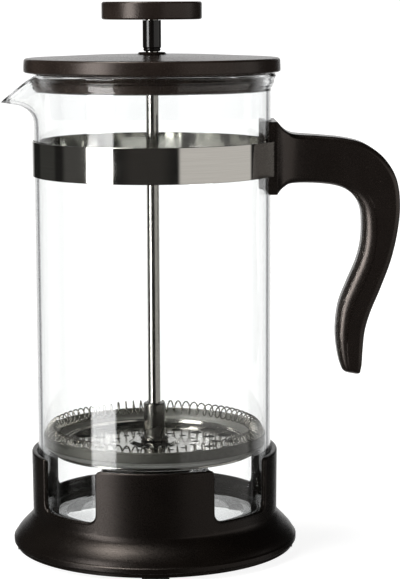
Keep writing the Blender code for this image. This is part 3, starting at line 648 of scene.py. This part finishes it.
def handle_sections(rows):
    """Cross-sections of the handle, one row of points each. Half a section runs from the middle
    of the finger side round an elliptical corner to the flat side, dips into the fine groove,
    crosses the flat and turns the outer edge; the other half mirrors it."""
    outer, inner = rows[:, 0:2], rows[:, 2:4]
    depth = np.linalg.norm(outer - inner, axis=1)[:, None]
    out = (outer - inner) / depth
    half, deep, wide, edge, groove = (rows[:, k][:, None] for k in range(4, 9))
    t = np.linspace(0, math.pi / 2, 12)
    s = np.linspace(0, 1, 4)[1:-1]
    t_out = np.linspace(0, math.pi / 2, 8)
    across = [deep * 0, deep * 0, deep * (1 - np.cos(t)),
              deep + np.array([0.12, 0.24, 0.36]),
              deep + 0.5 + (depth - edge - deep - 0.5) * s, depth - edge + edge * np.sin(t_out),
              depth + 0 * deep]
    width = [half * 0, (half - wide) * 0.6, half - wide + wide * np.sin(t),
             half - groove * np.array([1.0, 1.0, 0.0]), half + 0 * s,
             half - edge + edge * np.cos(t_out), (half - edge) * 0.5]
    across = np.concatenate([np.broadcast_to(a, (len(rows), a.shape[1])) for a in across], 1)
    width = np.concatenate([np.broadcast_to(w, (len(rows), w.shape[1])) for w in width], 1)
    across = np.concatenate([across, depth, across[:, :0:-1]], 1)
    width = np.concatenate([width, half * 0, -width[:, :0:-1]], 1)
    x = inner[:, :1] + out[:, :1] * across
    z = inner[:, 1:] + out[:, 1:] * across
    return np.stack([x, width, z], -1)


def make_handle(finish):
    """The handle is one grid of cross-sections. It starts on the glass's cylinder, where
    x = sqrt(seat^2 - y^2) and each row has a share of the saddle's size and stands off the glass.
    At the tip each row has a share of the last section's size and lies ahead of it."""
    seat = GLASS_R + SEAT_GAP
    body = handle_sections(smooth_rows(HANDLE, 8))
    saddle = body[:1].copy()
    middle = saddle.mean(axis=1, keepdims=True)
    start = []
    for share, stand_off in ((0.001, 0), (0.3, 0), (0.6, 0), (0.85, 0), (0.975, 0), (0.993, 0.15),
                             (1.0, 0.55), (1.0, 1.2)):
        row = middle + (saddle - middle) * share
        row[..., 0] = np.sqrt(seat ** 2 - row[..., 1] ** 2) + stand_off
        start.append(row)
    body = body[:-4]
    tip = body[-1:].mean(axis=1, keepdims=True)
    onward = (body[-1:] - body[-2:-1]).mean(axis=1, keepdims=True)
    onward /= np.linalg.norm(onward)
    end = []
    for share, ahead in ((0.975, 0.6), (0.92, 1.15), (0.83, 1.6), (0.7, 1.95), (0.52, 2.15),
                         (0.28, 2.22), (0.001, 2.25)):
        end.append(tip + (body[-1:] - tip) * share + onward * ahead)
    points = np.concatenate(start + [body] + end)
    handle = piece("handle_grip", [(points, False, True)], finish, "jug",
                   ["handle"], 60)
    recess = turned([(0.0, 12.0), (4.0, 12.0), (4.0, 5.1), (0.0, 5.1)], 48, closed=False)
    take_away(handle, "screw_recess", [on_side(recess)])


def on_side(shell):
    """Lays a shape turned about the vertical onto the clamp screw's axis, its top towards +Y."""
    points, wrap_rows, wrap_cols = shell
    x, y, height = np.moveaxis(points, -1, 0)
    return np.stack([x + SCREW_X, height, STRAP_Z - y], -1), wrap_rows, wrap_cols


def make_screw(finish):
    """A slotted screw with a domed head."""
    profile = rounded([(0.0, 7.3), (2.4, 7.1, 1.5), (3.5, 6.3, 0.4), (3.5, 5.4, 0.2), (1.9, 5.4),
                       (1.9, -6.0, 0.3), (0.0, -6.0)], steps=5)
    screw = piece("clamp_screw_slotted", [on_side(turned(profile, 64, closed=False))], finish,
                  "jug", ["clamp_screw"])
    long, half = 4, 0.5
    bar = np.array([(-long, -half), (long, -half), (long, half), (-long, half)])
    rows = [np.stack([SCREW_X + bar[:, 0], np.full(4, y), STRAP_Z + bar[:, 1]], -1)
            for y in (6.4, 8.0)]
    take_away(screw, "driver_slot", [(closed_ends(np.array(rows)), False, True)])


# --- lid --------------------------------------------------------

def make_lid(finishes):
    """The cover is a shallow dome with a rounded brim and a low collar round the bush; the plug
    under it steps down into the beaker with a groove between its flange and its sleeve."""
    brim, under, top = span("lid_cover")
    bore = 4.15
    cover = [(bore, top, 0.1), (bore + 1.0, top, 0.3), (bore + 1.7, top - 0.9, 0.8),
             (26.0, top - 1.2, 40.0), (brim - 0.2, top - 2.3, 1.1), (brim, top - 5.2, 1.0),
             (brim, under + 0.4, 0.6), (brim - 0.7, under, 0.4), (brim - 1.7, under, 0.2),
             (brim - 1.7, 195.2, 0.6), (46.0, 196.4, 1.0), (20.0, 196.9, 2.0), (bore, 197.0, 0.1)]
    line = refined(rounded(cover, closed=True, steps=8), 4.0, closed=True)
    piece("lid_cover_moulding", [turned(line, 192)], finishes["lid_plastic"], "lid",
          ["lid_cover"], 50)

    flange, low, high = span("lid_plug")
    sleeve = INNER_R - 0.35
    plug = [(flange, high, 0.3), (flange, RIM_TOP + 0.3, 0.3), (sleeve, RIM_TOP + 0.3, 0.3),
            (sleeve, 190.9, 0.4), (sleeve - 1.0, 190.4, 0.4), (sleeve - 1.0, 189.3, 0.4),
            (sleeve, 188.8, 0.4), (sleeve - 0.5, low, 0.6), (sleeve - 2.4, low, 0.5),
            (sleeve - 2.2, RIM_TOP, 1.0), (sleeve - 4.0, high, 0.3)]
    line = rounded(plug, closed=True, steps=5)
    piece("lid_plug_ring", [turned(line, 192)], finishes["lid_plastic"], "lid",
          ["lid_plug"], 50)

    radius, low, high = span("rod_guide")
    bush = [(BORE + 0.1, high, 0.2), (4.0, high, 0.3), (4.0, 196.7, 0.2), (radius, 196.7, 0.3),
            (radius, low, 0.3), (BORE + 0.1, low, 0.3)]
    piece("rod_guide_bush", [turned(rounded(bush, closed=True), 72)], finishes["guide_plastic"],
          "guide", ["rod_guide"])


# --- plunger ----------------------------------------------------

def make_knob(finishes):
    """A flat disc with tight rounded edges on a polished stem, with the rod inside."""
    radius, low, top = span("knob_cap")
    cap = [(0.0, top), (radius - 2.0, top - 0.05, 8.0), (radius, top, 0.9), (radius, low, 0.8),
           (BORE, low, 0.2), (BORE, top - 3.0), (0.0, top - 3.0)]
    line = refined(rounded(cap, steps=8), 3.0)
    line[:, 1] = np.minimum(line[:, 1], top)
    piece("knob", [turned(line, 144, closed=False)], finishes["knob_plastic"], "plunger",
          ["knob_cap"], 50)
    radius, low, high = span("knob_stem")
    stem = [(BORE, high), (radius, high), (radius, low + 1.5, 0.5), (radius - 0.5, low + 1.1, 0.3),
            (radius - 0.1, low + 0.7, 0.3), (radius - 0.6, low, 0.3), (BORE, low)]
    piece("knob_stem_polished", [turned(rounded(stem, closed=True), 72)], finishes["stem_plastic"],
          "plunger", ["knob_stem"])


def make_rod(finishes):
    """The drawn rod, the sleeve that presses on the filter and the thumb nut under it."""
    radius, low, high = span("plunger_rod")
    rod = [(0.0, high), (radius, high, 0.2), (radius, low, 0.5), (0.0, low)]
    piece("rod", [turned(refined(rounded(rod), 8.0), 64, closed=False)], finishes["rod_steel"],
          "plunger", ["plunger_rod"])
    radius, low, high = span("rod_hub")
    body = radius - 1.2
    hub = [(BORE, high, 0.2), (body, high, 0.6), (body, low + 1.6, 0.6), (radius, low + 1.2, 0.4),
           (radius, low, 0.3), (BORE, low, 0.1)]
    piece("hub_sleeve", [turned(rounded(hub, closed=True), 72)], finishes["screw_steel"],
          "plunger", ["rod_hub"])
    radius, low, high = span("filter_nut")
    nut = rounded([(BORE, high, 0.2), (radius, high, 0.3), (radius, high - 1.2, 0.3),
                   (radius - 2.0, high - 1.6, 0.4), (radius - 2.0, low, 0.4), (BORE, low, 0.2)],
                  closed=True)
    points, wrap_rows, wrap_cols = turned(nut, 180)
    a = np.linspace(0, 2 * math.pi, 180, endpoint=False)
    far = np.hypot(points[..., 0], points[..., 1]) > radius - 1.0
    scallop = np.where(far, 1 - 0.03 * (1 - np.cos(18 * a)), 1.0)
    points[..., :2] *= scallop[..., None]
    piece("thumb_nut", [(points, wrap_rows, wrap_cols)], finishes["screw_steel"], "plunger",
          ["filter_nut"])


def pierced(inner, outer, low, high, sectors, opening, side=8):
    """A flat ring with one opening in each sector. A sector's border is walked with side steps
    on each of its four sides; opening(border, q, s) gives the border of the hole for the same
    walk, where q runs outwards from 0 to 1 and s across the sector from -1 to 1. Straight lines
    join the two borders on the top and on the underside, and walls join the two faces."""
    step = np.linspace(0, 1, side, endpoint=False)
    q = np.concatenate([0 * step, step, 1 + 0 * step, 1 - step])
    s = np.concatenate([2 * step - 1, 1 + 0 * step, 1 - 2 * step, -1 + 0 * step])
    r, a = inner + (outer - inner) * q, s * math.pi / sectors
    border = np.stack([r * np.cos(a), r * np.sin(a)], -1)
    way = opening(border, q, s) - border
    short = 0.0024      # share of the way by which every opening is drawn too small
    shares = np.array([0.0, 0.5, 1.0, 1.0, 0.5, 0.0]) * (1 - short)
    plan = border + way * shares[:, None, None]
    level = np.repeat([high, low], 3)[:, None, None] + 0 * plan[..., :1]
    sector = np.concatenate([plan, level], -1)
    return [spun((sector, False, True), 2 * math.pi * k / sectors) for k in range(sectors)]


def make_plate(finish):
    """A pressed dish: raised round the rod, three rings of holes that grow outwards and a rim
    turned up all round. The turned parts share the rings' border points."""
    radius, low, high = span("perforated_plate")
    low, thick, sectors, side = low + 0.5, 0.3, 16, 8
    rings = [(12.5, 20.5, 1.3), (20.5, 28.1, 2.3), (28.1, 34.7, 3.1)]   # from, to, hole radius

    def round_hole(hole_radius):
        def opening(border, q, s):
            reach = np.hypot(*border.T)
            middle = np.array([reach.min() / 2 + reach.max() / 2, 0])
            way = border - middle
            return middle + way / np.linalg.norm(way, axis=1)[:, None] * hole_radius
        return opening

    shells = []
    for start, stop, hole in rings:
        shells += pierced(start, stop, low, low + thick, sectors, round_hole(hole), side)
    first, last = rings[0][0], rings[-1][1]
    centre = rounded([(first, low + thick), (10.4, low + thick, 1.0), (8.4, high - 1.0, 1.0),
                      (BORE, high - 1.0), (BORE, high - 1.8), (8.2, high - 1.8, 1.0),
                      (10.6, low, 1.0), (first, low)])
    rim = rounded([(last, low), (radius - 0.5, low, 1.0), (radius, low + 1.0, 1.0),
                   (radius, high, 0.3), (radius - 0.7, high, 0.3),
                   (radius - 0.9, low + 1.2, 0.8), (last, low + thick)])
    # The raised middle is flat: its top stands a millimetre over the dish.
    raised = low + thick + 1.0
    flat = np.where(centre[:, 1] > high - 1.4, raised, raised - thick)
    centre[:, 1] = np.where(centre[:, 0] < 9.5, flat, centre[:, 1])
    for profile in (centre, rim):
        ring = turned(profile, sectors * side, closed=False)
        shells.append(spun(ring, -math.pi / sectors))
    piece("filter_plate", shells, finish, "plunger", ["perforated_plate"], 50)


def make_cross(finish):
    """A steel disc with four large openings, which leave a cross in a ring. An opening's sides
    run beside the arms: at radius r they are arcsin(arm_half / r) away from an arm's middle."""
    radius, low, high = span("cross_plate")
    arms, start, stop, arm_half, side = 4, 11.0, 37.0, 3.2, 24
    boss, edge = 8.0, radius - 0.6

    def gap(border, q, s):
        r = start + (stop - start) * q
        a = s * (math.pi / arms - np.arcsin(arm_half / r))
        return np.stack([r * np.cos(a), r * np.sin(a)], -1)

    shells = pierced(boss, edge, low, high, arms, gap, side)
    for profile in ([(boss, high), (BORE, high), (BORE, low), (boss, low)],
                    rounded([(edge, high), (radius, high, 0.3), (radius, low, 0.3),
                             (edge, low)])):
        ring = turned(profile, arms * side, closed=False)
        shells.append(spun(ring, -math.pi / arms))
    shells = [spun(shell, math.pi / arms) for shell in shells]
    piece("filter_cross", shells, finish, "plunger", ["cross_plate"], 50)


def make_coil(finish):
    """A tube carried along a helix that is wound round a circle and closes on itself. The turns
    lean and bunch a little, as a hand-fitted spring does: slow sine waves shift their phase,
    change their size and lift the ring."""
    radius, low, high = span("coil_spring")
    wire_r, coil_r = 0.32, (high - low) / 2 - 0.35
    ring, middle = radius - (high - low) / 2, (low + high) / 2
    turns, per_turn, sides = 78, 18, 6
    around = np.linspace(0, 2 * math.pi, turns * per_turn, endpoint=False)
    wind = turns * around + 0.9 * np.sin(3 * around + 0.4) + 0.5 * np.sin(8 * around)
    size = coil_r * (0.97 + 0.03 * np.sin(11 * around))
    out = np.stack([np.cos(around), np.sin(around), 0 * around], -1)
    up = np.array([0.0, 0.0, 1.0])
    spoke = out * np.cos(wind)[:, None] + up * np.sin(wind)[:, None]
    lift = 0.5 + 0.8 * np.sin(around) + 0.15 * np.sin(5 * around)
    line = out * ring + up * (middle + lift)[:, None] + spoke * size[:, None]
    tangent = np.roll(line, -1, axis=0) - np.roll(line, 1, axis=0)
    tangent /= np.linalg.norm(tangent, axis=1)[:, None]
    cross = np.cross(tangent, spoke)
    cross /= np.linalg.norm(cross, axis=1)[:, None]
    b = np.linspace(0, 2 * math.pi, sides, endpoint=False)
    tube = (line[:, None] + np.cos(b)[:, None] * wire_r * spoke[:, None]
            + np.sin(b)[:, None] * wire_r * cross[:, None])
    piece("coil_spring_wire", [(tube, True, True)], finish, "plunger",
          ["coil_spring"], 80)


def make_screen(finish):
    """The wire-cloth disc with its edge pressed up into a shallow flange and hemmed."""
    radius, low, high = span("mesh_screen")
    t = 0.4
    outline = [(BORE, low + t), (radius - 3.4, low + t, 1.2), (radius - t - 0.35, low + 2.9, 1.2),
               (radius - t - 0.25, high - 1.0, 0.2), (radius - t - 0.35, high, 0.25),
               (radius, high, 0.3), (radius, high - 0.8, 0.2), (radius - 0.2, high - 1.0, 0.2),
               (radius - 0.15, low + 2.7, 0.8), (radius - 0.7, low + 2.2, 0.3),
               (radius - 1.0, low + 1.6, 0.4), (radius - 3.2, low, 1.2), (BORE, low)]
    line = refined(rounded(outline, closed=True, steps=5), 2.0, closed=True)
    screen = piece("filter_screen", [turned(line, 192)], finish, "plunger",
                   ["mesh_screen"], 60)
    # Marks the outside of the flange and the part under the plate, which the steel paints darker as
    # shade.
    mark_skin(screen, radius - 0.35, radius - 6.0)


# --- studio -----------------------------------------------------

# A panel is its first and last azimuth, its lowest and highest elevation, its softness either
# way, its colour and its strength. Angles are in degrees. Azimuth 0 is straight in front of the
# press, and it grows towards the handle; 180 is behind the press.
ROOM = (-200, 200, -120, 120), (1, 1), "20201f", 1.0
SWEEP = (161, 400, -120, 18), (9, 8), "ffffff", 1.0
SWEEP_WIDENED = 44.0            # how much further round the sweep reaches inside the glass
PANELS = [
    ((-64.5, -38.5, -13, 44), (1.2, 1), "ffffff", 6.6),         # strip light at the left
    ((-64.5, -38.5, -40, 44), (1.2, 6), "ffffff", 1.6),         # and its spill below
    ((25, 107, -13, 20), (2, 2), "fffcf8", 0.4),                # wide low panel at the right
    ((25, 107, -40, 20), (2, 6), "fffcf8", 0.24),               # and its spill below
    ((-93, -64, -40, 40), (4, 6), "fffdf8", 0.055),             # glow beside the strip light
    ((-135, -106, -40, 40), (3, 6), "fdfff6", 0.03),            # glow at the far left
    ((-26, 14, -40, 30), (9, 6), "fff4ea", 0.022),              # glow from the front
    ((-120, -54, 61, 81), (8, 5), "fffdf8", 18.0),              # soft box high at the left
    ((-400, 400, 78, 200), (5, 5), "fffdf8", 0.6),              # the ceiling
]
STRAIGHT = (1.15, 1.15, 1.15, 1.0)      # the room seen straight or through clear glass


def light_panel(tree, azimuth, elevation, edges, soft, colour, strength):
    """One panel of the studio from its edges in degrees (first and last azimuth, lowest and
    highest elevation): a colour times four smooth steps, soft degrees wide either way."""
    first, last, bottom, top = edges
    aside, upright = soft
    masks = []
    for value, start, stop in ((azimuth, first - aside, first + aside),
                               (azimuth, last + aside, last - aside),
                               (elevation, bottom - upright, bottom + upright),
                               (elevation, top + upright, top - upright)):
        masks.append(add(tree, "MapRange",
                         {"Value": value, "From Min": start, "From Max": stop},
                         interpolation_type="SMOOTHSTEP"))
    mask = masks[0]
    for other in masks[1:]:
        mask = add(tree, "Math", {0: mask, 1: other}, operation="MULTIPLY")
    return add(tree, "VectorMath",
               {0: [c * strength for c in linear(colour)[:3]], "Scale": mask}, operation="SCALE")


def bounce_count(tree):
    """How often the light has been mirrored or scattered on its way, passing glass apart."""
    path = add(tree, "LightPath")
    return add(tree, "Math",
               {0: path.outputs["Glossy Depth"], 1: path.outputs["Diffuse Depth"]}, operation="ADD")


def make_studio():
    """A pale room. What is seen straight or through clear glass is plain white; what lights the
    press and mirrors in it is a dark studio with a white sweep behind and panels round it."""
    world = bpy.data.worlds.new("studio")
    scene.world = world
    world.use_nodes = True
    tree = world.node_tree
    coordinates = add(tree, "TexCoord")
    way = add(tree, "SeparateXYZ", {0: coordinates.outputs["Generated"]})
    towards = add(tree, "Math", {0: way.outputs["Y"], 1: -1.0}, operation="MULTIPLY")
    turn = add(tree, "Math", {0: way.outputs["X"], 1: towards}, operation="ARCTAN2")
    azimuth = add(tree, "Math", {0: turn}, operation="DEGREES")
    rise = add(tree, "Math", {0: way.outputs["Z"]}, operation="ARCSINE")
    elevation = add(tree, "Math", {0: rise}, operation="DEGREES")
    path = add(tree, "LightPath")
    inside = add(tree, "Math",
                 {0: path.outputs["Transmission Depth"], 1: 0.5}, operation="GREATER_THAN")
    widened = add(tree, "Math", {0: inside, 1: SWEEP_WIDENED}, operation="MULTIPLY")
    turned_away = add(tree, "Math", {0: azimuth}, operation="ABSOLUTE")
    aside = add(tree, "Math", {0: turned_away, 1: widened}, operation="ADD")
    panels = [light_panel(tree, azimuth, elevation, *ROOM),
              light_panel(tree, aside, elevation, *SWEEP)]
    panels += [light_panel(tree, azimuth, elevation, *panel) for panel in PANELS]
    total = panels[0]
    for panel in panels[1:]:
        total = add(tree, "VectorMath", {0: total, 1: panel}, operation="ADD")
    direct = add(tree, "Math", {0: bounce_count(tree), 1: 0.5}, operation="LESS_THAN")
    through = add(tree, "Math",
                  {0: direct, 1: path.outputs["Is Transmission Ray"]}, operation="MULTIPLY")
    straight = add(tree, "Math",
                   {0: through, 1: path.outputs["Is Camera Ray"]}, operation="MAXIMUM")
    shown = add(tree, "Mix", {0: straight, 6: total, 7: STRAIGHT}, data_type="RGBA")
    tree.links.new(shown.outputs[2], tree.nodes["Background"].inputs["Color"])


def make_floor():
    """A white table top. It shines a little by itself, so that it stays as pale as the room and
    the press only leaves a faint shadow where it stands. Mirrored light passes through it, so
    that the press's upright sides stay as dark as the studio in front of them."""
    mesh = bpy.data.meshes.new("floor")
    reach = 3.0
    mesh.from_pydata([(-reach, -reach, 0), (reach, -reach, 0), (reach, reach, 0),
                      (-reach, reach, 0)], [], [(0, 1, 2, 3)])
    floor = bpy.data.objects.new("floor", mesh)
    scene.collection.objects.link(floor)
    mat, tree, shader = new_finish("floor_white", Roughness=0.9, Base_Color=linear("9c9c9c"),
                                   Emission_Color=(1, 1, 1, 1), Emission_Strength=0.9,
                                   Specular_IOR_Level=0.0)
    away = add(tree, "Math", {0: bounce_count(tree), 1: 0.5}, operation="GREATER_THAN")
    clear = add(tree, "BsdfTransparent")
    mixed = add(tree, "MixShader", {0: away, 1: shader, 2: clear})
    tree.links.new(mixed.outputs[0], tree.nodes["Material Output"].inputs["Surface"])
    mesh.materials.append(mat)
    floor.visible_shadow = False


def make_camera():
    """A long lens in front of the press, a little above its knob, looking slightly down."""
    data = bpy.data.cameras.new("camera")
    data.sensor_width, data.lens = 36.0, 126.67
    camera = bpy.data.objects.new("camera", data)
    scene.collection.objects.link(camera)
    yaw, pitch, roll = math.radians(1.3175), math.radians(8.068), math.radians(-0.2131)
    camera.matrix_world = (Matrix.Translation((AXIS_X, -0.81048, 0.22019))
                           @ Matrix.Rotation(-yaw, 4, "Z")
                           @ Matrix.Rotation(math.pi / 2 - pitch, 4, "X")
                           @ Matrix.Rotation(roll, 4, "Z"))
    bpy.context.scene.camera = camera


# --- the press --------------------------------------------------

finishes = make_finishes()
make_camera()
make_studio()
make_floor()
scene.view_settings.view_transform = "Standard"
# Light that crosses the beaker and is mirrored inside it meets many surfaces.
scene.cycles.max_bounces = 24
scene.cycles.transmission_bounces = 24
scene.cycles.glossy_bounces = 6

make_beaker(finishes["beaker_glass"])
make_base(finishes["base_plastic"])
make_feet(finishes["foot_rubber"])
make_strap(finishes["strap_steel"])
make_handle(finishes["handle_plastic"])
make_screw(finishes["screw_steel"])
make_lid(finishes)
make_knob(finishes)
make_rod(finishes)
make_plate(finishes["plate_steel"])
make_cross(finishes["plate_steel"])
make_coil(finishes["spring_steel"])
make_screen(finishes["mesh_steel"])

nut = frame["nodes"]["clamp_nut"]
nut.data.materials.clear()
nut.data.materials.append(finishes["screw_steel"])
